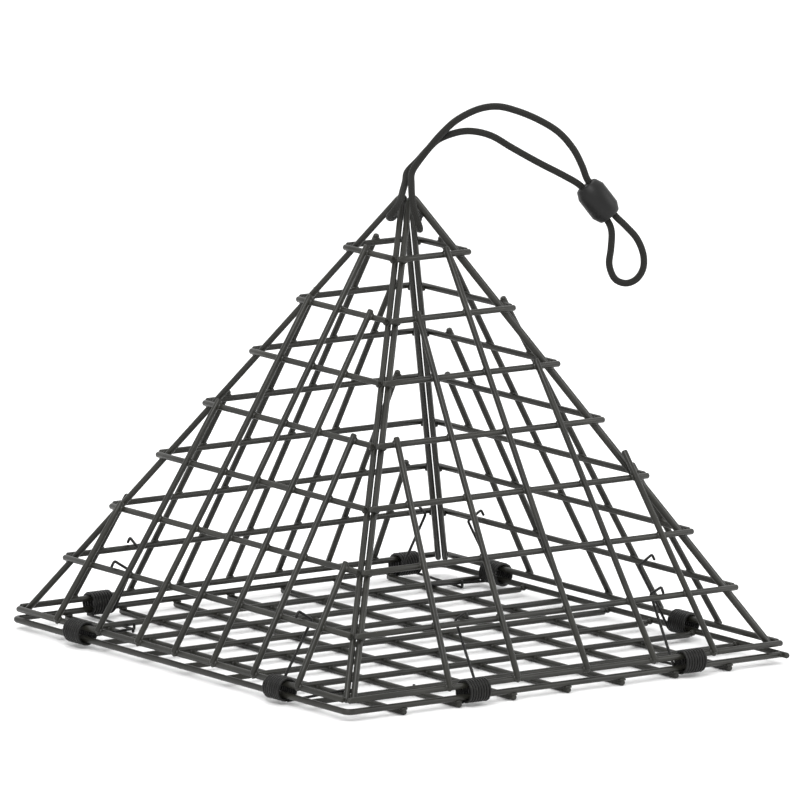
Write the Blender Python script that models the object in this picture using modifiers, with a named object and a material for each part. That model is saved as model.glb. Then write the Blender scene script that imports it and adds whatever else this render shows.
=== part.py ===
"""Folding crab trap: a square welded-wire base, four triangular mesh side panels that swing on
torsion springs, and a cord loop with a slider that ties the four tips together.

Metres, +Z up. The origin is the middle of the base at the level the trap stands on.
The front panel is at -Y, the right one at +X, the back one at +Y and the left one at -X.
"""

import math

import bmesh
import bpy
from mathutils import Matrix, Vector

# Driving sizes
SIDE = 0.305  # base, from rim wire to rim wire
APEX_RISE = 0.256  # from the hinge wires up to where the four panel planes would meet
WIRE = 0.0035  # coated wire, across
GAP = 0.0003  # air left between pieces that touch
WELD_SINK = 0.0011  # how far two wires welded across each other sink together
BASE_CELLS = 8
RUNG_CELLS = 8  # to a panel's height, the open one at the tip included
HINGE_AIR = 0.0005  # between the rim wire and an upright that swings past it
RIM_BEND = 0.004
RIM_OVERLAP = 0.0005  # of the rim's closing wire past the start of the last bend
TIP_BEND = 0.0026  # of the side wire, on its axis
HEAD_STUB = 0.0035  # upright above its last rung

# One entry for each panel. Places along the hinge wire are shares of SIDE, from its own left end
# as seen from outside. tip_inset is how far a rung's end stays from the pyramid's edge, fan is how
# far the uprights lean together on their way to the tip, and spare is extra length on the last one.
PANELS = {
    "front": dict(
        turn=0, uprights=(0.225, 0.38, 0.54, 0.695, 0.835), fan=0.42,
        tip_inset=0.0003, springs=(0.285, 0.785), spare=0.012,
    ),
    "right": dict(
        turn=90, uprights=(0.19, 0.36, 0.51, 0.66, 0.745), fan=0.35,
        tip_inset=0.0033, springs=(0.285, 0.84), spare=0.0,
    ),
    "back": dict(
        turn=180, uprights=(0.16, 0.27, 0.385, 0.5, 0.615, 0.73, 0.86), fan=0.3,
        tip_inset=0.0040, springs=(0.09, 0.806), spare=0.0,
    ),
    "left": dict(
        turn=270, uprights=(0.14, 0.265, 0.385, 0.495, 0.61, 0.73, 0.86), fan=0.28,
        tip_inset=0.0033, springs=(0.20, 0.80), spare=0.0,
    ),
}

# Torsion springs
SPRING_WIRE = 0.0016
SPRING_TURNS = 5.5
SPRING_LENGTH = 0.0150  # of the coil, between the axes of its end turns
SPRING_STEPS = 8  # points a turn
HOOK_PAST = 0.0052  # leg past the axis of the wire that it hooks round
HOOK_BACK = 0.004
HOOK_DIP = 0.0024  # of the foot's end below the wire that it hooks over
HOOK_BEND = 0.0012

# Cord and slider
CORD = 0.0039
CORD_POINTS = 92
SLIDER_LENGTH = 0.0225
SLIDER_WIDTH = 0.017
SLIDER_END_WIDTH = 0.0125
SLIDER_CHAMFER = 0.0048
STRAND_OFFSET = 0.0026  # each strand from the slider's axis
SLIDER_BORE = CORD + 3 * GAP

# Worked out from the sizes above
R = WIRE / 2
WELD_STEP = WIRE - WELD_SINK  # between the axes of two wires welded across each other
FLAT = R * math.cos(math.pi / 6)  # from a six-sided wire's axis down to its lowest flat
CLEAR = WIRE + GAP
BASE_PITCH = SIDE / BASE_CELLS
CROSS_Z = FLAT + WELD_STEP  # upper wires of the base mesh
RIM_Z = FLAT + CLEAR
HINGE_RISE = WELD_STEP + WIRE + HINGE_AIR  # hinge wire above the rim wire
HINGE_Z = RIM_Z + HINGE_RISE
SLANT = math.hypot(SIDE / 2, APEX_RISE)
LEAN = math.atan2(APEX_RISE, SIDE / 2)
EDGE_ANGLE = math.atan2(SLANT, SIDE / 2)  # between a panel's hinge wire and its edge
APEX_Z = HINGE_Z + APEX_RISE
# An upright's foot ends where it still clears the rim wire on its way round the hinge wire.
FOOT_STUB = math.sqrt((HINGE_RISE - R - GAP) ** 2 - (WELD_STEP + R) ** 2)
# A side wire's distance from the pyramid's edge, across the wire, which clears the next panel's.
LEG_INSET = ((WIRE + GAP) / math.sqrt(2) + CLEAR * math.sin(LEAN)) * math.sin(EDGE_ANGLE) + GAP / 4
# The side wire's V is bent round this centre, up the panel's slope, and the rungs share its height.
TIP_HALF_ANGLE = math.pi / 2 - EDGE_ANGLE
TIP_CENTRE = SLANT - LEG_INSET / math.sin(EDGE_ANGLE) * SLANT / (SIDE / 2) - TIP_BEND / math.sin(TIP_HALF_ANGLE)
RUNG_PITCH = (TIP_CENTRE + TIP_BEND) / RUNG_CELLS
# The tips stop this far below the apex, where the pyramid is this much across its middle.
TIP_DROP = (SLANT - TIP_CENTRE - TIP_BEND) * math.sin(LEAN)
TIP_HALF = TIP_DROP / math.tan(LEAN)

# The cord's route. It starts inside the four tips and weaves through their side wires. Points are
# from the apex, in shares of TIP_HALF across and of TIP_DROP up.
CORD_LACING = [
    (0.171, -1.257, -1.974),
    (0.657, -0.629, -1.974),
    (1.314, 0.000, -1.957),
    (1.914, 0.600, -1.923),
    (2.086, 1.372, -1.872),
    (1.686, 2.000, -1.855),
    (0.857, 2.057, -1.889),
    (0.000, 1.400, -1.957),
    (-0.643, 0.643, -1.974),
    (-1.400, -0.043, -1.940),
    (-2.000, -0.543, -1.838),
    (-2.314, -1.086, -1.668),
    (-2.114, -1.457, -1.345),
    (-1.543, -1.229, -1.021),
    (-0.971, -0.771, -0.698),
    (-0.457, -0.386, -0.357),
    (-0.029, -0.057, 0.017),
]
# Then it lies in one upright plane through the apex: out to the slider, round the hand loop and
# back. Each point is (out, sideways, up) in that plane's frame.
CORD_HEADING = -38.0  # degrees from +X
CORD_LOOP = [
    (0.0056, 0.0014, 0.0062),
    (0.0118, 0.0019, 0.0134),
    (0.0177, 0.0018, 0.0188),
    (0.0280, 0.0003, 0.0230),
    (0.0369, 0.0000, 0.0236),
    (0.0468, 0.0000, 0.0211),
    (0.0576, 0.0000, 0.0150),
    (0.0721, 0.0000, 0.0072),
    (0.0865, 0.0000, 0.0001),
    (0.0959, 0.0000, -0.0053),
    (0.1009, 0.0000, -0.0115),
    (0.1071, 0.0000, -0.0193),
    (0.1121, 0.0000, -0.0256),
    (0.1141, 0.0000, -0.0315),
    (0.1139, 0.0000, -0.0405),
    (0.1132, 0.0000, -0.0496),
    (0.1165, 0.0000, -0.0574),
    (0.1227, 0.0000, -0.0598),
    (0.1286, 0.0000, -0.0572),
    (0.1321, 0.0000, -0.0509),
    (0.1318, 0.0000, -0.0429),
    (0.1281, 0.0000, -0.0345),
    (0.1216, 0.0000, -0.0274),
    (0.1161, 0.0000, -0.0223),
    (0.1112, 0.0000, -0.0161),
    (0.1049, 0.0000, -0.0083),
    (0.0999, 0.0000, -0.0020),
    (0.0965, 0.0000, 0.0062),
    (0.0914, 0.0000, 0.0154),
    (0.0832, 0.0000, 0.0243),
    (0.0721, 0.0000, 0.0309),
    (0.0598, 0.0000, 0.0357),
    (0.0489, 0.0000, 0.0379),
    (0.0381, -0.0003, 0.0360),
    (0.0269, -0.0014, 0.0301),
    (0.0189, -0.0021, 0.0227),
    (0.0125, -0.0023, 0.0150),
    (0.0062, -0.0028, 0.0066),
]
# And it ends inside the tips again, in the same shares as it started.
CORD_END = [
    (-0.114, -0.686, 0.034),
    (-0.486, -1.143, -0.426),
    (-0.743, -1.572, -0.919),
    (-0.857, -1.972, -1.379),
    (-0.800, -2.257, -1.804),
    (-0.514, -2.229, -2.179),
    (-0.171, -1.857, -2.383),
]
SLIDER_OUT = 0.1060  # the slider's middle, in the cord's plane
SLIDER_UP = -0.0138
SLIDER_DIP = 51.34  # degrees that its bores run below level


def clear_scene():
    for obj in list(bpy.data.objects):
        bpy.data.objects.remove(obj, do_unlink=True)


def new_collection(name, hidden=False):
    collection = bpy.data.collections.new(name)
    bpy.context.scene.collection.children.link(collection)
    collection.hide_render = hidden
    return collection


def material(name, colour, roughness, metallic=0.0):
    made = bpy.data.materials.new(name)
    made.use_nodes = True
    shader = made.node_tree.nodes["Principled BSDF"]
    shader.inputs["Base Color"].default_value = (*colour, 1)
    shader.inputs["Roughness"].default_value = roughness
    shader.inputs["Metallic"].default_value = metallic
    return made


def wires(name, lines, radius):
    """A curve object with one tube for each line of points."""
    curve = bpy.data.curves.new(name, "CURVE")
    curve.dimensions = "3D"
    curve.twist_mode = "Z_UP"
    curve.bevel_depth = radius
    curve.bevel_resolution = 1
    curve.use_fill_caps = True
    for line in lines:
        spline = curve.splines.new("POLY")
        spline.points.add(len(line) - 1)
        for point, place in zip(spline.points, line):
            point.co = (*place, 1)
    return bpy.data.objects.new(name, curve)


def as_mesh(obj):
    """The curve object's tubes as closed mesh bodies, in an object of the same name."""
    scene = bpy.context.scene.collection
    scene.objects.link(obj)
    bpy.context.view_layer.update()
    graph = bpy.context.evaluated_depsgraph_get()
    mesh = bpy.data.meshes.new_from_object(obj.evaluated_get(graph))
    made = bpy.data.objects.new(obj.name, mesh)
    made.matrix_world = obj.matrix_world.copy()
    name, curve = obj.name, obj.data
    bpy.data.objects.remove(obj, do_unlink=True)
    bpy.data.curves.remove(curve)
    made.name = name
    bm = bmesh.new()
    bm.from_mesh(mesh)
    bmesh.ops.remove_doubles(bm, verts=bm.verts, dist=1e-6)
    bmesh.ops.recalc_face_normals(bm, faces=bm.faces)
    bm.to_mesh(mesh)
    bm.free()
    return made


def welded(name, first, second, parts, cutters):
    """One body out of two layers of wires that cross each other."""
    body, other = as_mesh(first), as_mesh(second)
    body.name = name
    parts.objects.link(body)
    cutters.objects.link(other)
    other.hide_render = True
    other.display_type = "WIRE"
    union = body.modifiers.new("welds", "BOOLEAN")
    union.operation = "UNION"
    union.solver = "EXACT"
    union.object = other
    return body


def arc(centre, radius, start, end, steps):
    """Points in the local XY plane, angles in degrees."""
    found = []
    for step in range(steps + 1):
        angle = math.radians(start + (end - start) * step / steps)
        found.append(Vector((centre[0] + radius * math.cos(angle), centre[1] + radius * math.sin(angle), 0)))
    return found


def smooth_points(route, count):
    """count points, evenly spaced along a smooth curve through the route's points."""
    places = [Vector(p) for p in route]
    places = [places[0] * 2 - places[1]] + places + [places[-1] * 2 - places[-2]]
    fine = []
    for a, b, c, d in zip(places, places[1:], places[2:], places[3:]):
        for step in range(24):
            t = step / 24
            fine.append(
                0.5 * (2 * b + (c - a) * t + (2 * a - 5 * b + 4 * c - d) * t**2 + (3 * b - a - 3 * c + d) * t**3)
            )
    fine.append(places[-2])
    run = [0.0]
    for a, b in zip(fine, fine[1:]):
        run.append(run[-1] + (b - a).length)
    found, at = [], 0
    for step in range(count):
        want = run[-1] * step / (count - 1)
        while at < len(run) - 2 and run[at + 1] < want:
            at += 1
        share = (want - run[at]) / (run[at + 1] - run[at])
        found.append(fine[at].lerp(fine[at + 1], min(1.0, share)))
    return found


def finish(obj, collection, surface, place=None):
    if place is not None:
        obj.matrix_world = place
    if obj.name not in collection.objects:
        collection.objects.link(obj)
    obj.data.materials.clear()
    obj.data.materials.append(surface)
    return obj


def make_base(parts, cutters, surface):
    half = SIDE / 2
    inner = half - RIM_BEND
    long_run = [Vector((half, -half - R - WIRE, 0))]
    long_run += arc((inner, inner), RIM_BEND, 0, 90, 4)
    long_run += arc((-inner, inner), RIM_BEND, 90, 180, 4)
    long_run += arc((-inner, -inner), RIM_BEND, 180, 270, 4)
    closing = [Vector((-inner - RIM_OVERLAP, -half, 0)), Vector((half, -half, 0))]
    rim = welded(
        "base_rim", wires("rim", [long_run], R), wires("rim_closing", [closing], R * 0.98), parts, cutters
    )
    finish(rim, parts, surface, Matrix.Translation((0, 0, RIM_Z)))
    bpy.data.objects["rim_closing"].matrix_world = Matrix.Translation((0, 0, RIM_Z))

    across, along = [], []
    reach = half - 2 * R - GAP
    for k in range(1, BASE_CELLS):
        at = -half + k * BASE_PITCH
        along.append([Vector((at, -half - R, FLAT)), Vector((at, half + R, FLAT))])
        across.append([Vector((-reach, at, CROSS_Z)), Vector((reach, at, CROSS_Z))])
    mesh = welded("base_mesh", wires("base_along", along, R), wires("base_across", across, R), parts, cutters)
    finish(mesh, parts, surface)


def panel_place(panel):
    """From a panel's own frame (along its hinge wire, up its slope, outwards) to the trap's."""
    slope = Vector((0, math.cos(LEAN), math.sin(LEAN)))
    out = Vector((0, -math.sin(LEAN), math.cos(LEAN)))
    own = Matrix(((1, 0, 0), slope, out)).transposed().to_4x4()
    own.translation = (0, -SIDE / 2, HINGE_Z)
    return Matrix.Rotation(math.radians(panel["turn"]), 4, "Z") @ own


def half_width(up, inset):
    """Half the panel's width at a height up its slope, inset from the pyramid's edge."""
    return SIDE / 2 * (1 - up / SLANT) - inset / math.sin(EDGE_ANGLE)


def side_wire_line():
    """The V of the side wire, from one foot up round the tip and down to the other."""
    half_angle = math.degrees(TIP_HALF_ANGLE)
    foot = half_width(0, LEG_INSET)
    line = [Vector((foot, 0, 0))]
    line += arc((0, TIP_CENTRE), TIP_BEND, half_angle, 180 - half_angle, 6)
    line.append(Vector((-foot, 0, 0)))
    return [p - Vector((0, 0, CLEAR)) for p in line]


def last_rung(foot, fan):
    """The highest rung that an upright from this foot still crosses inside the side wires."""
    best = 0
    for rung in range(RUNG_CELLS):
        up = RUNG_PITCH * rung
        if abs(foot) * (1 - fan * up / SLANT) < half_width(up, LEG_INSET) - WIRE / 2:
            best = rung
    return best


def make_panel(name, panel, parts, cutters, surface):
    place = panel_place(panel)
    rungs = []
    for rung in range(RUNG_CELLS):
        up = RUNG_PITCH * rung
        reach = half_width(up, panel["tip_inset"])
        rungs.append([Vector((-reach, up, 0)), Vector((reach, up, 0))])
    uprights = []
    for share in panel["uprights"]:
        foot = (share - 0.5) * SIDE
        top = RUNG_PITCH * last_rung(foot, panel["fan"]) + HEAD_STUB
        if share == panel["uprights"][-1]:
            top += panel["spare"]
        ends = []
        for up in (-FOOT_STUB, top):
            ends.append(Vector((foot * (1 - panel["fan"] * up / SLANT), up, WELD_STEP)))
        uprights.append(ends)
    mesh = welded(
        name + "_mesh",
        wires(name + "_rungs", rungs, R),
        wires(name + "_uprights", uprights, R),
        parts,
        cutters,
    )
    finish(mesh, parts, surface, place)
    bpy.data.objects[name + "_uprights"].matrix_world = place
    wire = wires(name + "_side_wire", [side_wire_line()], R)
    finish(wire, parts, surface, place)


def spring_line(lengthwise, foot_under):
    """A coil round rim wire and hinge wire, a leg up to the first rung and a foot out to the base.

    In the edge's frame: x along the hinge wire, y inwards, z up from the hinge wire's axis.
    lengthwise is +1 where the leg is at the +x end. foot_under says that the foot hooks round
    its base wire from below.
    """
    r = SPRING_WIRE / 2
    coil = (HINGE_RISE + WIRE) / 2 + GAP + r
    middle = -HINGE_RISE / 2
    start = -90.0  # lowest point, where the foot leaves inwards
    end = start + 360 * SPRING_TURNS
    # The leg leaves where the turn runs up the panel's slope, on the panel's inner side.
    leave = math.degrees(LEAN) - 90
    end += (leave - end) % 360 - 360
    count = round((end - start) / 360 * SPRING_STEPS)
    line = []
    # The foot runs out to the first base wire that lies along the edge, past it and back round it.
    far = SIDE / BASE_CELLS + HOOK_PAST
    if foot_under:
        hook_z = CROSS_Z - R - GAP - r - HINGE_Z
        tip = hook_z + HOOK_BACK
        bend = hook_z + HOOK_BEND
    else:
        hook_z = FLAT + R + GAP + r - HINGE_Z
        tip = hook_z - HOOK_DIP
        bend = hook_z - HOOK_BEND
    x0 = -lengthwise * SPRING_LENGTH / 2
    for y, z in ((far, tip), (far, bend), (far - HOOK_BEND, hook_z)):
        line.append(Vector((x0, y, z)))
    for step in range(count + 1):
        share = step / count
        angle = math.radians(start + (end - start) * share)
        x = x0 + lengthwise * SPRING_LENGTH * share
        line.append(Vector((x, coil * math.cos(angle), middle + coil * math.sin(angle))))
    # Up the slope to the first rung and over it.
    slope = Vector((0, math.cos(LEAN), math.sin(LEAN)))
    out = Vector((0, -math.sin(LEAN), math.cos(LEAN)))
    leaves = line[-1]
    depth = leaves.dot(out)
    x1 = leaves.x
    over = RUNG_PITCH + R + GAP + 2 * r + HOOK_BEND
    across = R + 2 * GAP + r
    for up, w in ((over - HOOK_BEND, depth), (over, depth + HOOK_BEND), (over, across), (over - HOOK_BACK, across)):
        line.append(Vector((x1, 0, 0)) + slope * up + out * w)
    return line


def make_springs(name, panel, parts, surface):
    for number, share in enumerate(panel["springs"], 1):
        foot_under = panel["turn"] % 180 == 0
        line = spring_line(1 if share < 0.5 else -1, foot_under)
        spring = wires(f"{name}_spring_{number}", [line], SPRING_WIRE / 2)
        spring.data.twist_mode = "MINIMUM"
        turn = Matrix.Rotation(math.radians(panel["turn"]), 4, "Z")
        place = turn @ Matrix.Translation(((share - 0.5) * SIDE, -SIDE / 2, HINGE_Z))
        finish(spring, parts, surface, place)


def cord_frame():
    """From the cord plane's own frame (out, sideways, up) to the trap's."""
    return Matrix.Translation((0, 0, APEX_Z)) @ Matrix.Rotation(math.radians(CORD_HEADING), 4, "Z")


def make_cord(parts, surface):
    apex = Matrix.Translation((0, 0, APEX_Z)) @ Matrix.Diagonal((TIP_HALF, TIP_HALF, TIP_DROP, 1))
    route = [apex @ Vector(point) for point in CORD_LACING]
    route += [cord_frame() @ Vector(point) for point in CORD_LOOP]
    route += [apex @ Vector(point) for point in CORD_END]
    cord = wires("bridle_cord", [smooth_points(route, CORD_POINTS)], CORD / 2)
    cord.data.bevel_resolution = 2
    cord.data.twist_mode = "MINIMUM"
    finish(cord, parts, surface)


def make_slider(parts, cutters, surface):
    middle = Matrix.Translation((SLIDER_OUT, 0, SLIDER_UP))
    place = cord_frame() @ middle @ Matrix.Rotation(math.radians(90 + SLIDER_DIP), 4, "Y")
    half, wide, narrow = SLIDER_LENGTH / 2, SLIDER_WIDTH / 2, SLIDER_END_WIDTH / 2
    profile = [(0, half), (narrow, half), (wide, half - SLIDER_CHAMFER)]
    profile += [(wide, SLIDER_CHAMFER - half), (narrow, -half), (0, -half)]
    mesh = bpy.data.meshes.new("slider")
    mesh.from_pydata([(r, 0, z) for r, z in profile], [(k, k + 1) for k in range(len(profile) - 1)], [])
    slider = bpy.data.objects.new("slider", mesh)
    finish(slider, parts, surface, place)
    turned = slider.modifiers.new("turned", "SCREW")
    turned.steps = turned.render_steps = 16
    turned.use_merge_vertices = True
    turned.merge_threshold = 1e-5
    for number, side in enumerate((-1, 1), 1):
        bore = bmesh.new()
        bmesh.ops.create_cone(
            bore, cap_ends=True, segments=12, radius1=SLIDER_BORE / 2, radius2=SLIDER_BORE / 2,
            depth=SLIDER_LENGTH * 1.5,
        )
        cutter_mesh = bpy.data.meshes.new(f"slider_bore_{number}")
        bore.to_mesh(cutter_mesh)
        bore.free()
        cutter = bpy.data.objects.new(f"slider_bore_{number}", cutter_mesh)
        cutters.objects.link(cutter)
        cutter.matrix_world = place @ Matrix.Translation((side * STRAND_OFFSET, 0, 0))
        cutter.hide_render = True
        cutter.display_type = "WIRE"
        cut = slider.modifiers.new(f"bore_{number}", "BOOLEAN")
        cut.operation = "DIFFERENCE"
        cut.solver = "EXACT"
        cut.object = cutter


def main():
    clear_scene()
    parts = new_collection("folding_crab_trap")
    cutters = new_collection("cutters", hidden=True)
    vinyl = material("black_vinyl_wire", (0.025, 0.025, 0.022), 0.42)
    spring = material("coated_spring_wire", (0.03, 0.03, 0.026), 0.38)
    cord = material("black_cord", (0.018, 0.018, 0.017), 0.8)
    bead = material("black_moulding", (0.016, 0.016, 0.015), 0.5)
    make_base(parts, cutters, vinyl)
    for name, panel in PANELS.items():
        make_panel(name, panel, parts, cutters, vinyl)
        make_springs(name, panel, parts, spring)
    make_cord(parts, cord)
    make_slider(parts, cutters, bead)


main()
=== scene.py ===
# %% [markdown]
# # A folding crab trap
# The trap is a square base of welded wire and four triangular panels of the same wire. Torsion
# springs hinge the panels to the base, and a cord with a bead slider pulls the four tips together.
# The solid model of it is loaded first. It gives every body its place and says how it moves, so
# each piece made here only has to be put where its solid is and told which body it rides on.

# %% Load the solid model
import math

import bmesh
import bpy
from mathutils import Matrix, Vector, noise


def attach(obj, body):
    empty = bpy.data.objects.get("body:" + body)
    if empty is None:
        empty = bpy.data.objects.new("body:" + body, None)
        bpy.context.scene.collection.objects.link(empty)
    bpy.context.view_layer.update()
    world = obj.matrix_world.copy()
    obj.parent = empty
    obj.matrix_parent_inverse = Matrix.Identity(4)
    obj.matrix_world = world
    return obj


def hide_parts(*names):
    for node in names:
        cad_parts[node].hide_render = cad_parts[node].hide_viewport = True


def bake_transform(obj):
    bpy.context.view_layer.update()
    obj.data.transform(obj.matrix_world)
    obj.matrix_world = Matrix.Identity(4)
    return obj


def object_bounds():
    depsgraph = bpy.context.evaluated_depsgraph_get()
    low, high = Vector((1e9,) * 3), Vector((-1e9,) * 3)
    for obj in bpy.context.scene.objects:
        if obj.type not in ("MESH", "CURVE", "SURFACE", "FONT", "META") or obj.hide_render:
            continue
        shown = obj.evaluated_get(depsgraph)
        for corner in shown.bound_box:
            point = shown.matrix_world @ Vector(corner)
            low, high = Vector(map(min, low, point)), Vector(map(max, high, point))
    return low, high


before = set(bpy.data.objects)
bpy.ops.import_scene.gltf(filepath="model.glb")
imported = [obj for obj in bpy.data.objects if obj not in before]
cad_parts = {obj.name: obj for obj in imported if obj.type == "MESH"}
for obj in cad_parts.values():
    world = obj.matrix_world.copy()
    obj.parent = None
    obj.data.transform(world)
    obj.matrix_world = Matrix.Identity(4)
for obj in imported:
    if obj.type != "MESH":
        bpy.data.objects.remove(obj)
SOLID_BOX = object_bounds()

# %% [markdown]
# The camera stands far away with a long lens, so that the far side of the base is drawn as large
# as the near side. It looks at the trap a little to the left of its front corner and a little from
# above. The part is small, so the lens is what sets how much of the picture it fills.

# %% Camera
VIEW_TURN = math.radians(-38.2)  # round the trap, from straight in front
VIEW_RISE = math.radians(10.35)
DISTANCE = 8.0
ROLL = math.radians(1.3)  # the camera was held a little askew
PICTURE_WIDTH = 0.4448  # metres of the trap's middle across the picture
AIM_HEIGHT = 0.10675  # of the point that it is turned towards
AIM_LEFT, AIM_ABOVE = 0.0004, 0.0320  # from that point to the picture's middle
SENSOR = 36.0

right = Vector((math.cos(VIEW_TURN), math.sin(VIEW_TURN), 0))
back = Vector((math.sin(VIEW_TURN), -math.cos(VIEW_TURN), 0)) * math.cos(VIEW_RISE)
back.z = math.sin(VIEW_RISE)
up = back.cross(right)
level = Matrix((right, up, back)).transposed().to_4x4() @ Matrix.Rotation(ROLL, 4, "Z")
right, up = level.col[0].to_3d(), level.col[1].to_3d()
aim = Vector((0, 0, AIM_HEIGHT)) - right * AIM_LEFT + up * AIM_ABOVE

camera = bpy.data.objects.new("camera", bpy.data.cameras.new("camera"))
bpy.context.scene.collection.objects.link(camera)
camera.data.sensor_width = SENSOR
camera.data.lens = SENSOR * DISTANCE / PICTURE_WIDTH
camera.data.clip_start, camera.data.clip_end = 0.1, 60
camera.matrix_world = Matrix.Translation(aim + back * DISTANCE) @ level
bpy.context.scene.camera = camera
print(f"camera: {camera.data.lens:.0f} mm lens, {DISTANCE:.0f} m away")

# %% [markdown]
# The trap's sizes are stated once and everything is placed from them. The base is 305 mm from rim
# wire to rim wire. The panels lean in, so that their planes meet 256 mm above the hinge wires.

# %% Sizes
SIDE = 0.305
APEX_RISE = 0.256
WIRE = 0.0035  # coated wire, across
GAP = 0.0003
WELD_STEP = WIRE - 0.0011  # between the axes of two wires welded across each other
CELLS = 8
HINGE_RISE = WELD_STEP + WIRE + 0.0005  # hinge wire above the rim wire
R = WIRE / 2
FLAT = R * math.cos(math.pi / 6)
CROSS_Z = FLAT + WELD_STEP
RIM_Z = FLAT + WIRE + GAP
HINGE_Z = RIM_Z + HINGE_RISE
APEX_Z = HINGE_Z + APEX_RISE
SLANT = math.hypot(SIDE / 2, APEX_RISE)
LEAN = math.atan2(APEX_RISE, SIDE / 2)
EDGE_ANGLE = math.atan2(SLANT, SIDE / 2)
LEG_INSET = ((WIRE + GAP) / math.sqrt(2) + (WIRE + GAP) * math.sin(LEAN)) * math.sin(EDGE_ANGLE) + GAP / 4
TIP_BEND = 0.0026  # of the side wire's tip
TIP_HALF_ANGLE = math.pi / 2 - EDGE_ANGLE
INSET_LOSS = LEG_INSET / math.sin(EDGE_ANGLE) * SLANT / (SIDE / 2)  # of the V's height, by its inset
TIP_CENTRE = SLANT - INSET_LOSS - TIP_BEND / math.sin(TIP_HALF_ANGLE)
RUNG_PITCH = (TIP_CENTRE + TIP_BEND) / CELLS
TIP_DROP = (SLANT - TIP_CENTRE - TIP_BEND) * math.sin(LEAN)  # from the apex to the tips
TIP_HALF = TIP_DROP / math.tan(LEAN)
print(f"panels lean {math.degrees(LEAN):.1f} degrees, apex at {APEX_Z * 1000:.1f} mm")

# %% [markdown]
# Shader maths is easier to read as sums than as a web of nodes. This small class wraps the output
# of a node. Adding or multiplying two of them adds a Math node to the material, so a pattern can
# be written as one line of Python.


# %% Shader values as Python
class Value:
    """The output socket of a node, with Python's operators."""

    def __init__(self, material, socket):
        self.material, self.socket = material, socket

    def maths(self, operation, *others):
        node = self.material.nodes.new("ShaderNodeMath")
        node.operation = operation
        for slot, value in zip(node.inputs, (self, *others)):
            self.material.put(slot, value)
        return Value(self.material, node.outputs[0])

    def __add__(self, other):
        return self.maths("ADD", other)

    def __radd__(self, other):
        return self.maths("ADD", other)

    def __sub__(self, other):
        return self.maths("SUBTRACT", other)

    def __rsub__(self, other):
        return (self * -1).maths("ADD", other)

    def __mul__(self, other):
        return self.maths("MULTIPLY", other)

    def __pow__(self, other):
        return self.maths("POWER", other)

    def fraction(self):
        return self.maths("FRACT")

    def size(self):
        return self.maths("ABSOLUTE")

    def step(self, low, high):
        """0 below low, 1 above high and a smooth rise between."""
        inputs = {"Value": self, "From Min": low, "From Max": high}
        node = self.material.add("ShaderNodeMapRange", {"interpolation_type": "SMOOTHSTEP"}, inputs)
        return Value(self.material, node.outputs["Result"])


class Finish:
    """A material that is put together from nodes."""

    def __init__(self, name):
        self.material = bpy.data.materials.new(name)
        self.material.use_nodes = True
        self.nodes, self.links = self.material.node_tree.nodes, self.material.node_tree.links
        self.shader = self.nodes["Principled BSDF"]

    def put(self, slot, value):
        if isinstance(value, Value):
            self.links.new(value.socket, slot)
        elif isinstance(value, bpy.types.NodeSocket):
            self.links.new(value, slot)
        else:
            slot.default_value = value

    def add(self, kind, settings=None, inputs=None):
        """A node of this type, with its settings first and then its inputs' values or links."""
        node = self.nodes.new(kind)
        for name, value in (settings or {}).items():
            setattr(node, name, value)
        for name, value in (inputs or {}).items():
            self.put(node.inputs[name], value)
        return node

    def object_place(self):
        return self.add("ShaderNodeTexCoord").outputs["Object"]

    def noise(self, place, scale, detail=3.0, roughness=0.5, distortion=0.0):
        inputs = {"Vector": place, "Scale": scale, "Detail": detail}
        inputs |= {"Roughness": roughness, "Distortion": distortion}
        return Value(self, self.add("ShaderNodeTexNoise", None, inputs).outputs["Fac"])

    def mix(self, factor, first, second):
        node = self.add("ShaderNodeMix", {"data_type": "RGBA"})
        self.put(node.inputs[0], factor)
        self.put(node.inputs[6], (*first, 1) if isinstance(first, tuple) else first)
        self.put(node.inputs[7], (*second, 1) if isinstance(second, tuple) else second)
        return node.outputs[2]

    def bump(self, height, distance, strength=1.0, under=None):
        inputs = {"Height": height, "Distance": distance, "Strength": strength}
        if under is not None:
            inputs["Normal"] = under
        return self.add("ShaderNodeBump", None, inputs).outputs["Normal"]

    def surface(self, **inputs):
        for name, value in inputs.items():
            self.put(self.shader.inputs[name.replace("_", " ")], value)
        return self.material


print("shader helpers ready")

# %% [markdown]
# The wire is steel, dipped in soft vinyl after it is welded. The coat is near black with a warm,
# slightly olive cast where light falls on it. It is not quite smooth: it has a fine orange peel
# from the dip, long slow runs, and paler scuffs and dried salt where the trap has been handled.
# All of it is made from noise on Object coordinates, so it runs on where one wire meets another.

# %% Vinyl coat
vinyl = Finish("black_vinyl_coat")
place = vinyl.object_place()
peel = vinyl.noise(place, 900, 2.0)
runs = vinyl.noise(place, 130, 3.0, 0.55)
patches = vinyl.noise(place, 34, 4.0, 0.6)
scuffs = vinyl.noise(place, 260, 6.0, 0.72, 0.6).step(0.60, 0.72) * patches.step(0.46, 0.62)
salt = vinyl.noise(place, 620, 5.0, 0.7).step(0.63, 0.74) * (1 - patches).step(0.50, 0.66)
coat = vinyl.mix(patches.step(0.35, 0.65), (0.0120, 0.0120, 0.0098), (0.0195, 0.0192, 0.0155))
coat = vinyl.mix(scuffs * 0.5, coat, (0.046, 0.045, 0.037))
coat = vinyl.mix(salt * 0.25, coat, (0.085, 0.083, 0.072))
relief = vinyl.bump(runs, 0.00025, 0.5, vinyl.bump(peel, 0.00006, 0.6))
VINYL = vinyl.surface(
    Base_Color=coat,
    Specular_IOR_Level=0.30,
    Roughness=0.33 + scuffs * 0.22 + salt * 0.2 + (peel - 0.5) * 0.12,
    Normal=relief,
)
print("made", VINYL.name)

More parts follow.
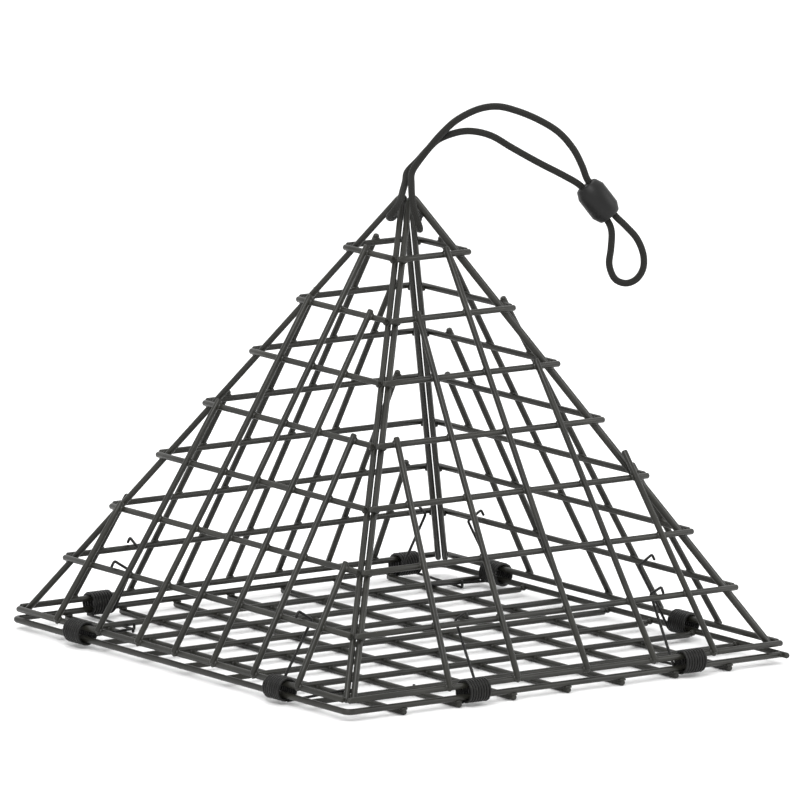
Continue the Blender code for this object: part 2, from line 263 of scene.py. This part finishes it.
# %% [markdown]
# The springs are hard-drawn wire with a thin black finish. It has rubbed through to grey steel on
# the outside of some turns, where turn rubs on turn. A metal with a dark, rough coat is made by
# changing Metallic and Base Color together under one mask.

# %% Spring wire
steel = Finish("black_spring_wire")
place = steel.object_place()
rub = steel.noise(place, 420, 5.0, 0.7).step(0.56, 0.70)
drawn = steel.noise(place, 1500, 2.0)
SPRING = steel.surface(
    Base_Color=steel.mix(rub * 0.4, (0.0042, 0.0042, 0.0038), (0.10, 0.097, 0.088)),
    Metallic=rub * 0.5,
    Specular_IOR_Level=0.25,
    Roughness=0.40 + (drawn - 0.5) * 0.18 - rub * 0.08,
    Normal=steel.bump(drawn, 0.00003, 0.5),
)
print("made", SPRING.name)

# %% [markdown]
# The bead slider is moulded from black nylon. Its skin has a fine spark-eroded grain and a dull
# sheen, and it is the darkest piece of the trap.

# %% Slider plastic
nylon = Finish("black_moulded_nylon")
place = nylon.object_place()
grain = nylon.noise(place, 2600, 3.0, 0.6)
wear = nylon.noise(place, 300, 5.0, 0.65).step(0.58, 0.74)
NYLON = nylon.surface(
    Base_Color=nylon.mix(wear * 0.45, (0.0030, 0.0030, 0.0029), (0.0110, 0.0108, 0.0100)),
    Specular_IOR_Level=0.28,
    Roughness=0.46 + (grain - 0.5) * 0.25 + wear * 0.1,
    Normal=nylon.bump(grain, 0.00005, 0.5),
)
print("made", NYLON.name)

# %% [markdown]
# The cord is a tubular braid. Its strands run round it in two families of spirals that pass over
# and under each other. The piece carries a UV map with turns round the cord in U and diameters
# along it in V, so each family is a saw-tooth of U plus or minus V, and a checker of the two says
# which strand is on top. Its colour is pale on the strands' crowns and dark in the grooves between
# them, which is painted shade.

# %% Braided cord
braid = Finish("black_braided_cord")
uv = braid.add("ShaderNodeSeparateXYZ", None, {"Vector": braid.add("ShaderNodeTexCoord").outputs["UV"]})
around, along = Value(braid, uv.outputs["X"]), Value(braid, uv.outputs["Y"])
CARRIERS = 8
LAY = 2.6  # strands passed in one diameter of length
right_hand = around * CARRIERS + along * LAY
left_hand = around * CARRIERS - along * LAY
tooth_a = 1 - (right_hand.fraction() - 0.5).size() * 2
tooth_b = 1 - (left_hand.fraction() - 0.5).size() * 2
turn_about = ((right_hand - right_hand.fraction() + left_hand - left_hand.fraction()) * 0.5).fraction() * 2
strand = (tooth_a ** 0.6) * turn_about + (tooth_b ** 0.6) * (1 - turn_about)
fibres = braid.noise(braid.object_place(), 3200, 3.0, 0.7)
fuzz = braid.noise(braid.object_place(), 240, 4.0, 0.6)
# Painted shade: the grooves between the strands are dark and the crowns pale. A quarter of the mix is random
# tone from the fuzz noise.
painted_groove_shade_and_fuzz = strand.step(0.1, 0.9) * 0.75 + fuzz * 0.25
CORD_FINISH = braid.surface(
    Base_Color=braid.mix(painted_groove_shade_and_fuzz, (0.0035, 0.0035, 0.0031), (0.0170, 0.0167, 0.0145)),
    Roughness=0.74 + fibres * 0.16,
    Specular_IOR_Level=0.22,
    Sheen_Weight=0.06,
    Sheen_Roughness=0.5,
    Normal=braid.bump(strand, 0.00028, 0.9, braid.bump(fibres, 0.00008, 0.5)),
)
print("made", CORD_FINISH.name)

# %% [markdown]
# Everything but the slider is wire, so one helper makes it all: a ring of vertices at the start of
# a path, extruded from point to point and turned to face along it. The two ends are drawn in over
# three short steps, which gives the rounded tip of a dipped wire. It also lays out a UV map, as it
# knows how far round and how far along every vertex is.


# %% A swept wire
# The rings of a rounded end: how far back from it in radii, and how wide for the wire's width.
ROUNDED_END = ((0.02, 0.55), (0.10, 0.82), (0.45, 1.0))


def swept(target, path, radius, sides=12):
    """Adds a wire along the path to the bmesh target."""
    path = [Vector(point) for point in path]
    first, last = (path[0] - path[1]).normalized(), (path[-1] - path[-2]).normalized()
    steps = [(path[0] - first * radius * behind, wide) for behind, wide in ROUNDED_END]
    steps += [(point, 1.0) for point in path[1:-1]]
    steps += [(path[-1] - last * radius * behind, wide) for behind, wide in reversed(ROUNDED_END)]
    piece = bmesh.new()
    around, along = piece.verts.layers.float.new("around"), piece.verts.layers.float.new("along")
    aim = (path[1] - path[0]).normalized()
    start = Matrix.Translation(steps[0][0]) @ aim.to_track_quat("Z", "Y").to_matrix().to_4x4()
    ring = bmesh.ops.create_circle(piece, segments=sides, radius=radius * steps[0][1], matrix=start)["verts"]
    for number, vert in enumerate(ring):
        vert[around] = number / sides
    edges = list(piece.edges)
    piece.faces.new(list(reversed(ring)))
    here, size, run = steps[0][0], steps[0][1], 0.0
    for number in range(1, len(steps)):
        place, wide = steps[number]
        ahead = steps[min(number + 1, len(steps) - 1)][0] - steps[number - 1][0]
        ahead.normalize()
        grown = bmesh.ops.extrude_edge_only(piece, edges=edges)["geom"]
        ring = [g for g in grown if isinstance(g, bmesh.types.BMVert)]
        edges = [g for g in grown if isinstance(g, bmesh.types.BMEdge)]
        turn = aim.rotation_difference(ahead).to_matrix().to_4x4()
        shift = Matrix.Translation(place) @ turn @ Matrix.Scale(wide / size, 4) @ Matrix.Translation(-here)
        bmesh.ops.transform(piece, matrix=shift, verts=ring)
        run += (place - here).length
        for vert in ring:
            vert[along] = run / (2 * radius)
        aim, here, size = ahead, place, wide
    bmesh.ops.contextual_create(piece, geom=edges)
    bmesh.ops.recalc_face_normals(piece, faces=piece.faces)
    layout = piece.loops.layers.uv.new("UVMap")
    for face in piece.faces:
        face.smooth = len(face.verts) == 4
        wraps = max(v[around] for v in face.verts) - min(v[around] for v in face.verts) > 0.5
        for loop in face.loops:
            u = loop.vert[around]
            loop[layout].uv = (u + 1 if wraps and u < 0.5 else u, loop.vert[along])
    mesh = bpy.data.meshes.new("length")
    piece.to_mesh(mesh)
    piece.free()
    target.from_mesh(mesh)
    bpy.data.meshes.remove(mesh)


def weld(target, place, wide=R * 1.6, thick=R * 0.85):
    """A pad of coat that has pooled where two wires are welded, flat in the XY plane."""
    pad = Matrix.Translation(place) @ Matrix.Diagonal((wide, wide, thick, 1))
    made = bmesh.ops.create_uvsphere(target, u_segments=8, v_segments=6, radius=1, matrix=pad)["verts"]
    for face in {f for v in made for f in v.link_faces}:
        face.smooth = True


def piece_from(bm, name, finish, slot, *nodes):
    """The object of a finished bmesh, in place of its solids."""
    mesh = bpy.data.meshes.new(name)
    bm.to_mesh(mesh)
    bm.free()
    obj = bpy.data.objects.new(name, mesh)
    bpy.context.scene.collection.objects.link(obj)
    mesh.materials.append(finish)
    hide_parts(*nodes)
    print(f"{name}: {len(mesh.polygons)} faces")
    return obj


# %% [markdown]
# ## The cord's route
# The cord starts inside the four tips and weaves out and in through their side wires, which is what
# holds the panels shut. Both strands come over the top, run out through the slider and meet in the
# hand loop. It is one smooth curve through the same points as the solid's, and it is made as a
# swept wire, whose UV map the braid follows.

# %% Cord
CORD = 0.0039
CORD_HEADING = math.radians(-38)
CORD_LACING = [
    (0.171, -1.257, -1.974), (0.657, -0.629, -1.974), (1.314, 0.000, -1.957), (1.914, 0.600, -1.923),
    (2.086, 1.372, -1.872), (1.686, 2.000, -1.855), (0.857, 2.057, -1.889), (0.000, 1.400, -1.957),
    (-0.643, 0.643, -1.974), (-1.400, -0.043, -1.940), (-2.000, -0.543, -1.838), (-2.314, -1.086, -1.668),
    (-2.114, -1.457, -1.345), (-1.543, -1.229, -1.021), (-0.971, -0.771, -0.698), (-0.457, -0.386, -0.357),
    (-0.029, -0.057, 0.017),
]
CORD_LOOP = [
    (0.0056, 0.0014, 0.0062), (0.0118, 0.0019, 0.0134), (0.0177, 0.0018, 0.0188), (0.0280, 0.0003, 0.0230),
    (0.0369, 0.0000, 0.0236), (0.0468, 0.0000, 0.0211), (0.0576, 0.0000, 0.0150), (0.0721, 0.0000, 0.0072),
    (0.0865, 0.0000, 0.0001), (0.0959, 0.0000, -0.0053), (0.1009, 0.0000, -0.0115), (0.1071, 0.0000, -0.0193),
    (0.1121, 0.0000, -0.0256), (0.1141, 0.0000, -0.0315), (0.1139, 0.0000, -0.0405), (0.1132, 0.0000, -0.0496),
    (0.1165, 0.0000, -0.0574), (0.1227, 0.0000, -0.0598), (0.1286, 0.0000, -0.0572), (0.1321, 0.0000, -0.0509),
    (0.1318, 0.0000, -0.0429), (0.1281, 0.0000, -0.0345), (0.1216, 0.0000, -0.0274), (0.1161, 0.0000, -0.0223),
    (0.1112, 0.0000, -0.0161), (0.1049, 0.0000, -0.0083), (0.0999, 0.0000, -0.0020), (0.0965, 0.0000, 0.0062),
    (0.0914, 0.0000, 0.0154), (0.0832, 0.0000, 0.0243), (0.0721, 0.0000, 0.0309), (0.0598, 0.0000, 0.0357),
    (0.0489, 0.0000, 0.0379), (0.0381, -0.0003, 0.0360), (0.0269, -0.0014, 0.0301), (0.0189, -0.0021, 0.0227),
    (0.0125, -0.0023, 0.0150), (0.0062, -0.0028, 0.0066),
]
CORD_END = [
    (-0.114, -0.686, 0.034), (-0.486, -1.143, -0.426), (-0.743, -1.572, -0.919), (-0.857, -1.972, -1.379),
    (-0.800, -2.257, -1.804), (-0.514, -2.229, -2.179), (-0.171, -1.857, -2.383),
]
apex = Matrix.Translation((0, 0, APEX_Z))
weave = apex @ Matrix.Diagonal((TIP_HALF, TIP_HALF, TIP_DROP, 1))
cord_plane = apex @ Matrix.Rotation(CORD_HEADING, 4, "Z")
route = [weave @ Vector(p) for p in CORD_LACING]
route += [cord_plane @ Vector(p) for p in CORD_LOOP]
route += [weave @ Vector(p) for p in CORD_END]


def smooth_path(points, spacing):
    """Evenly spaced points on a smooth curve through these."""
    points = [points[0] * 2 - points[1]] + points + [points[-1] * 2 - points[-2]]
    fine = []
    for a, b, c, d in zip(points, points[1:], points[2:], points[3:]):
        for k in range(24):
            t = k / 24
            square, cube = (2 * a - 5 * b + 4 * c - d) * t**2, (3 * b - a - 3 * c + d) * t**3
            fine.append(0.5 * (2 * b + (c - a) * t + square + cube))
    fine.append(points[-2])
    length = sum((q - p).length for p, q in zip(fine, fine[1:]))
    count = round(length / spacing)
    found, walked, due = [fine[0]], 0.0, length / count
    for p, q in zip(fine, fine[1:]):
        step = (q - p).length
        while len(found) < count and walked + step >= due * len(found):
            found.append(p.lerp(q, (due * len(found) - walked) / step))
        walked += step
    return found + [fine[-1]], length


cord_path, cord_length = smooth_path(route, 0.0012)
bm = bmesh.new()
swept(bm, cord_path, CORD / 2, sides=16)
cord = piece_from(bm, "bridle_cord_braid", CORD_FINISH, "cord", "bridle_cord")
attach(cord, "bridle")
print(f"cord {cord_length * 1000:.0f} mm long")

# %% [markdown]
# ## The bead slider
# It is a barrel with narrow ends, and its edges are rounded in the mould. Two bores run through
# it, one for each strand. The outline is drawn as an edge and spun round, and its edges are
# bevelled. The bores are cut afterwards, each with a small lead-in so the cord doesn't chafe.

# %% Slider
SLIDER_LENGTH, SLIDER_WIDTH, SLIDER_END, SLIDER_CHAMFER = 0.0225, 0.017, 0.0125, 0.0048
SLIDER_OUT, SLIDER_UP = 0.1060, -0.0138  # its middle, in the cord's plane
SLIDER_DIP = 51.34  # degrees that its bores run below level
STRAND_OFFSET, BORE = 0.0026, CORD + 3 * GAP
slider_place = cord_plane @ Matrix.Translation((SLIDER_OUT, 0, SLIDER_UP))
slider_place = slider_place @ Matrix.Rotation(math.radians(90 + SLIDER_DIP), 4, "Y")
half = SLIDER_LENGTH / 2


def spun(upper_outline, steps):
    """A bmesh turned about Z from the upper half of its outline, whose lower half mirrors it."""
    outline = upper_outline + [(x, -z) for x, z in reversed(upper_outline)]
    bm = bmesh.new()
    verts = [bm.verts.new((x, 0, z)) for x, z in outline]
    edges = [bm.edges.new(pair) for pair in zip(verts, verts[1:])]
    whole = dict(cent=(0, 0, 0), axis=(0, 0, 1), angle=2 * math.pi, use_merge=True)
    bmesh.ops.spin(bm, geom=verts + edges, steps=steps, **whole)
    bmesh.ops.remove_doubles(bm, verts=bm.verts, dist=1e-6)
    bmesh.ops.recalc_face_normals(bm, faces=bm.faces)
    return bm


def helper(bm, name):
    """An object that is only there to be cut or to cut."""
    mesh = bpy.data.meshes.new(name)
    bm.to_mesh(mesh)
    bm.free()
    obj = bpy.data.objects.new(name, mesh)
    bpy.context.scene.collection.objects.link(obj)
    return obj


bm = spun([(0, half), (SLIDER_END / 2, half), (SLIDER_WIDTH / 2, half - SLIDER_CHAMFER)], 16)
rims = [e for e in bm.edges if len(e.link_faces) == 2 and e.calc_face_angle() > math.radians(30)]
bmesh.ops.bevel(bm, geom=rims, offset=0.0011, affect="EDGES", segments=4, profile=0.5, material=-1)
slider_body = helper(bm, "slider_body")
helpers = [slider_body]
for side in (-1, 1):
    mouth = BORE / 2 + 0.0012
    drill_outline = [(0, half * 1.3), (mouth, half * 1.3), (mouth, half + 0.0004)]
    drill_outline += [(BORE / 2 + 0.0005, half - 0.0002), (BORE / 2, half - 0.0011)]
    bm = spun(drill_outline, 24)
    bmesh.ops.translate(bm, verts=bm.verts, vec=(side * STRAND_OFFSET, 0, 0))
    drill = helper(bm, "drill")
    cut = slider_body.modifiers.new("bore", "BOOLEAN")
    cut.operation, cut.solver, cut.object = "DIFFERENCE", "EXACT", drill
    helpers.append(drill)
bpy.context.view_layer.update()
drilled = bpy.data.meshes.new_from_object(slider_body.evaluated_get(bpy.context.evaluated_depsgraph_get()))
for obj in helpers:
    bpy.data.objects.remove(obj, do_unlink=True)
bm = bmesh.new()
bm.from_mesh(drilled)
bmesh.ops.transform(bm, matrix=slider_place, verts=bm.verts)
for face in bm.faces:
    face.smooth = True
for edge in bm.edges:
    edge.smooth = len(edge.link_faces) == 2 and edge.calc_face_angle() < math.radians(32)
slider = piece_from(bm, "slider_bead", NYLON, "slider", "slider")
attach(slider, "slider")

# %% [markdown]
# ## The base
# The base is welded from two layers of straight wire. The lower layer runs from front to back and
# the upper layer from left to right. Where they cross, the dip leaves a small web of vinyl in
# the corners, so a flattened pad is set at each crossing. The wires of real welded mesh are never
# quite straight, so each is given a very slight bow, far under its own thickness.


# %% Base mesh
noise.seed_set(7)  # so that the bows are the same in every run


def bowed(start, end, seed, sway=0.00018, count=9):
    """Points from start to end, with the slight waviness of a welded wire."""
    start, end = Vector(start), Vector(end)
    points = []
    for k in range(count + 1):
        t = k / count
        drift = noise.noise_vector(Vector((seed * 7.3, t * 2.5, 1.7))) * sway * math.sin(math.pi * t)
        points.append(start.lerp(end, t) + drift)
    return points


HALF = SIDE / 2
PITCH = SIDE / CELLS
bm = bmesh.new()
for k in range(1, CELLS):
    at = -HALF + k * PITCH
    swept(bm, bowed((at, -HALF - R, FLAT + 0.00015), (at, HALF + R, FLAT + 0.00015), k), R)
    reach = HALF - 2 * R - GAP
    swept(bm, bowed((-reach, at, CROSS_Z), (reach, at, CROSS_Z), 20 + k), R)
for i in range(1, CELLS):
    for j in range(1, CELLS):
        weld(bm, Vector((-HALF + i * PITCH, -HALF + j * PITCH, FLAT + WELD_STEP / 2)))
base_mesh = piece_from(bm, "base_welded_mesh", VINYL, "vinyl_wire", "base_mesh")
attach(base_mesh, "base")

# %% [markdown]
# The rim is one wire of the same size, bent round three corners. It is closed at the fourth, where
# one end runs on past the corner by a wire's width and the other is welded to its side.


# %% Base rim
def bend(centre, radius, start, end, steps=8):
    """Points of a bend in the XY plane, angles in degrees."""
    points = []
    for k in range(steps + 1):
        angle = math.radians(start + (end - start) * k / steps)
        points.append(Vector((centre[0] + radius * math.cos(angle), centre[1] + radius * math.sin(angle), 0)))
    return points


RIM_BEND = 0.004
CLOSING_PAD, LAYER_PAD, END_PAD = (R * 1.5, R * 1.04), (R * 1.45, R * 0.7), (R * 1.2, R)  # wide, thick
inner = HALF - RIM_BEND
rim_line = [Vector((HALF, -HALF - R - WIRE, 0)), Vector((HALF, -HALF * 0.5, 0)), Vector((HALF, 0, 0))]
rim_line += bend((inner, inner), RIM_BEND, 0, 90) + bend((-inner, inner), RIM_BEND, 90, 180)
rim_line += bend((-inner, -inner), RIM_BEND, 180, 270)
rim_line += [Vector((0, -HALF, 0)), Vector((HALF - R * 0.6, -HALF, 0))]
bm = bmesh.new()
swept(bm, [p + Vector((0, 0, RIM_Z)) for p in rim_line], R)
weld(bm, Vector((HALF - R * 0.4, -HALF, RIM_Z)), *CLOSING_PAD)
for k in range(1, CELLS):
    at = -HALF + k * PITCH
    for edge in (-HALF, HALF):
        weld(bm, Vector((at, edge, RIM_Z - (WIRE + GAP) / 2)), *LAYER_PAD)
        end = edge - math.copysign(R + 0.0001, edge)  # of the upper layer's wire, under the rim
        weld(bm, Vector((end, at, (RIM_Z + CROSS_Z) / 2)), *END_PAD)
base_rim = piece_from(bm, "base_rim_wire", VINYL, "vinyl_wire", "base_rim")
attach(base_rim, "base")

# %% [markdown]
# ## The side panels
# A panel is a stack of level rungs, the lowest of which is its hinge wire, with uprights welded on
# their outer side and a V of the same wire inside them. No two panels are alike: they differ in
# how many uprights they have or in where those stand. The uprights also lean together a little
# towards the tip.

# %% Panels
PANELS = {
    "front": dict(
        turn=0, uprights=(0.225, 0.38, 0.54, 0.695, 0.835), fan=0.42,
        tip_inset=0.0003, springs=(0.285, 0.785), spare=0.012,
    ),
    "right": dict(
        turn=90, uprights=(0.19, 0.36, 0.51, 0.66, 0.745), fan=0.35,
        tip_inset=0.0033, springs=(0.285, 0.84), spare=0.0,
    ),
    "back": dict(
        turn=180, uprights=(0.16, 0.27, 0.385, 0.5, 0.615, 0.73, 0.86), fan=0.3,
        tip_inset=0.0040, springs=(0.09, 0.806), spare=0.0,
    ),
    "left": dict(
        turn=270, uprights=(0.14, 0.265, 0.385, 0.495, 0.61, 0.73, 0.86), fan=0.28,
        tip_inset=0.0033, springs=(0.20, 0.80), spare=0.0,
    ),
}
PANEL_SWAY, SIDE_SWAY = 0.00012, 0.0001  # of the panels' straight wires and of the side wires
SIDE_PAD = R * 1.35, R * 0.62  # wide, thick
HEAD_STUB = 0.0035
FOOT_STUB = math.sqrt((HINGE_RISE - R - GAP) ** 2 - (WELD_STEP + R) ** 2)
OUT = Vector((0, -math.sin(LEAN), math.cos(LEAN)))
SLOPE = Vector((0, math.cos(LEAN), math.sin(LEAN)))


def panel_place(panel):
    """From a panel's own frame (along its hinge wire, up its slope, outwards) to the trap's."""
    own = Matrix(((1, 0, 0), SLOPE, OUT)).transposed().to_4x4()
    own.translation = (0, -HALF, HINGE_Z)
    return Matrix.Rotation(math.radians(panel["turn"]), 4, "Z") @ own


def half_width(up_slope, inset):
    """Half the panel's width at a height up its slope, inset from the pyramid's edge."""
    return HALF * (1 - up_slope / SLANT) - inset / math.sin(EDGE_ANGLE)


def last_rung(foot, fan):
    """The highest rung that an upright from this foot still crosses inside the side wires."""
    best = 0
    for rung in range(CELLS):
        height = RUNG_PITCH * rung
        if abs(foot) * (1 - fan * height / SLANT) < half_width(height, LEG_INSET) - R:
            best = rung
    return best


def side_wire_path():
    """The V of a side wire, from one foot round the tip to the other."""
    half_angle = math.degrees(TIP_HALF_ANGLE)
    foot = half_width(0, LEG_INSET)
    bent = bend((0, TIP_CENTRE), TIP_BEND, half_angle, 180 - half_angle, 10)
    up_leg = bowed((foot, 0, 0), bent[0], 3.1, SIDE_SWAY, 6)
    down_leg = bowed(bent[-1], (-foot, 0, 0), 4.7, SIDE_SWAY, 6)
    return [p - Vector((0, 0, WIRE + GAP)) for p in up_leg[:-1] + bent + down_leg[1:]]


for number, (name, panel) in enumerate(PANELS.items()):
    to_trap = panel_place(panel)
    bm = bmesh.new()
    for rung in range(CELLS):
        height = RUNG_PITCH * rung
        reach = half_width(height, panel["tip_inset"])
        swept(bm, bowed((-reach, height, 0), (reach, height, 0), number * 31 + rung, PANEL_SWAY, 7), R)
        inset = half_width(height, LEG_INSET)
        for side in (-1, 1):
            if rung:
                weld(bm, Vector((side * inset, height, -(WIRE + GAP) / 2)), *SIDE_PAD)
    for share in panel["uprights"]:
        foot = (share - 0.5) * SIDE
        top_rung = last_rung(foot, panel["fan"])
        top = RUNG_PITCH * top_rung + HEAD_STUB + (panel["spare"] if share == panel["uprights"][-1] else 0)
        lean_in = [foot * (1 - panel["fan"] * height / SLANT) for height in (-FOOT_STUB, top)]
        low, high = (lean_in[0], -FOOT_STUB, WELD_STEP), (lean_in[1], top, WELD_STEP)
        swept(bm, bowed(low, high, number * 17 + share * 40, PANEL_SWAY, 7), R)
        for rung in range(top_rung + 1):
            height = RUNG_PITCH * rung
            across = foot * (1 - panel["fan"] * height / SLANT)
            weld(bm, Vector((across, height, WELD_STEP / 2)))
    bmesh.ops.transform(bm, matrix=to_trap, verts=bm.verts)
    mesh_piece = piece_from(bm, f"{name}_panel_mesh", VINYL, "vinyl_wire", f"{name}_mesh")
    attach(mesh_piece, f"{name}_panel")
    bm = bmesh.new()
    swept(bm, side_wire_path(), R)
    bmesh.ops.transform(bm, matrix=to_trap, verts=bm.verts)
    side_piece = piece_from(bm, f"{name}_panel_side_wire", VINYL, "vinyl_wire", f"{name}_side_wire")
    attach(side_piece, f"{name}_panel")

# %% [markdown]
# ## The torsion springs
# Two springs on each side do the hinging. Each is a tight coil round the rim wire and the hinge
# wire together. One end leaves as a straight leg up to the first rung and hooks over it. The other
# end is a foot that reaches in to the base mesh and hooks round its first wire. When a panel
# swings, the leg goes with it, and the coil and the foot stay. So each spring is made as two
# pieces. The first, the foot and the coil, rides on the base. The second, the leg with the last
# third or so of a turn, is not put on the panel's body.

# %% Springs
SPRING_WIRE = 0.0016
SPRING_LENGTH = 0.0150
TURNS = 9
STEPS = 16
OPENING_TURN = 0.3  # share of a turn that goes with the leg
BENDS_FROM, BENDS_TO = -0.0045, 0.0035  # inwards from the hinge wire's axis
HOOK_PAST, HOOK_BACK, HOOK_DIP, HOOK_BEND = 0.0052, 0.004, 0.0024, 0.0012


def rounded(corners, radius, steps=4):
    """The path through these corners with each inner one rounded off."""
    corners = [Vector(c) for c in corners]
    path = [corners[0]]
    for a, b, c in zip(corners, corners[1:], corners[2:]):
        reach = min(radius, (a - b).length * 0.45, (c - b).length * 0.45)
        p, q = b + (a - b).normalized() * reach, b + (c - b).normalized() * reach
        for k in range(steps + 1):
            t = k / steps
            path.append(p * (1 - t) ** 2 + b * 2 * t * (1 - t) + q * t**2)
    return path + [corners[-1]]


def spring_paths(lengthwise, foot_under):
    """The foot and the coil, and then the opening turn and the leg."""
    r = SPRING_WIRE / 2
    coil = (HINGE_RISE + WIRE) / 2 + GAP + r
    middle = -HINGE_RISE / 2
    leave = math.degrees(LEAN) - 90
    end = -90 + 360 * TURNS
    end += (leave - end) % 360 - 360
    far = PITCH + HOOK_PAST
    if foot_under:
        hook_z = CROSS_Z - R - GAP - r - HINGE_Z
        tip = hook_z + HOOK_BACK
    else:
        hook_z = FLAT + R + GAP + r - HINGE_Z
        tip = hook_z - HOOK_DIP
    x0 = -lengthwise * SPRING_LENGTH / 2
    foot = [(x0, far, tip), (x0, far, hook_z), (x0, 0.0025, middle - coil if foot_under else hook_z)]
    line = rounded(foot, HOOK_BEND)[:-1]

    def on_coil(turned):
        angle = math.radians(-90 + turned)
        x = x0 + lengthwise * SPRING_LENGTH * turned / (end + 90)
        return Vector((x, coil * math.cos(angle), middle + coil * math.sin(angle)))

    opens_at = end + 90 - 360 * OPENING_TURN
    count = round(opens_at / 360 * STEPS)
    fixed = line + [on_coil(opens_at * k / count) for k in range(count + 1)]
    opening = [on_coil(opens_at + 360 * OPENING_TURN * k / 16) for k in range(17)]
    leaves = opening[-1]
    depth = leaves.dot(OUT)
    over = RUNG_PITCH + R + GAP + 2 * r + HOOK_BEND
    across = R + 2 * GAP + r
    low = leaves.dot(SLOPE)

    def on_leg(height, outwards):
        return Vector((leaves.x, 0, 0)) + SLOPE * height + OUT * outwards

    straight = [on_leg(low + (over - low) * k / 16, depth) for k in range(1, 13)]
    hook = [on_leg(over, depth), on_leg(over, across), on_leg(over - HOOK_BACK, across)]
    return fixed, opening + straight + rounded([straight[-1]] + hook, HOOK_BEND)[1:]


for name, panel in PANELS.items():
    turn = Matrix.Rotation(math.radians(panel["turn"]), 4, "Z")
    for number, share in enumerate(panel["springs"], 1):
        place = turn @ Matrix.Translation(((share - 0.5) * SIDE, -HALF, HINGE_Z))
        fixed, swinging = spring_paths(1 if share < 0.5 else -1, panel["turn"] % 180 == 0)
        solid = f"{name}_spring_{number}"
        made = []
        for label, path in (("coil", fixed), ("leg", swinging)):
            bm = bmesh.new()
            swept(bm, path, SPRING_WIRE / 2, sides=8)
            bmesh.ops.transform(bm, matrix=place, verts=bm.verts)
            made.append(piece_from(bm, f"{solid}_{label}", SPRING, "spring_wire", solid))
        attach(made[0], "base")
        hinge, inwards = place.translation, turn @ Vector((0, 1, 0))
        start, end = hinge + inwards * BENDS_FROM, hinge + inwards * BENDS_TO
        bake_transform(made[1])

# %% [markdown]
# ## Floor and light
# The trap stands on a plain pale floor. The light is a large soft panel on each side and one
# above, with an even pale sky, so that the dark wires keep thin highlights.

# %% Floor and light
floor_finish = Finish("pale_floor")
FLOOR = floor_finish.surface(Base_Color=(0.93, 0.93, 0.93, 1), Roughness=0.9)
bm = bmesh.new()
bmesh.ops.create_grid(bm, x_segments=1, y_segments=1, size=30)
bmesh.ops.translate(bm, verts=bm.verts, vec=(0, 0, SOLID_BOX[0][2] - 0.0002))
floor_mesh = bpy.data.meshes.new("floor")
bm.to_mesh(floor_mesh)
bm.free()
floor_mesh.materials.append(FLOOR)
floor = bpy.data.objects.new("floor", floor_mesh)
bpy.context.scene.collection.objects.link(floor)

world = bpy.data.worlds.new("pale_sky")
bpy.context.scene.world = world
world.use_nodes = True
world.node_tree.nodes["Background"].inputs["Color"].default_value = (1, 1, 1, 1)
world.node_tree.nodes["Background"].inputs["Strength"].default_value = 1.15


def soft_light(name, place, size, power):
    lamp = bpy.data.lights.new(name, "AREA")
    lamp.shape, lamp.size, lamp.energy = "DISK", size, power
    obj = bpy.data.objects.new(name, lamp)
    bpy.context.scene.collection.objects.link(obj)
    facing = (Vector(place) - Vector((0, 0, 0.1))).to_track_quat("Z", "Y")
    obj.matrix_world = Matrix.Translation(place) @ facing.to_matrix().to_4x4()
    obj.visible_camera = False


soft_light("key", (-1.6, -1.2, 2.2), 1.4, 38)
soft_light("fill", (1.9, -1.6, 1.2), 1.6, 16)
soft_light("top", (0.3, 0.8, 2.4), 1.2, 14)
bpy.context.scene.view_settings.view_transform = "Standard"
print("stage ready")
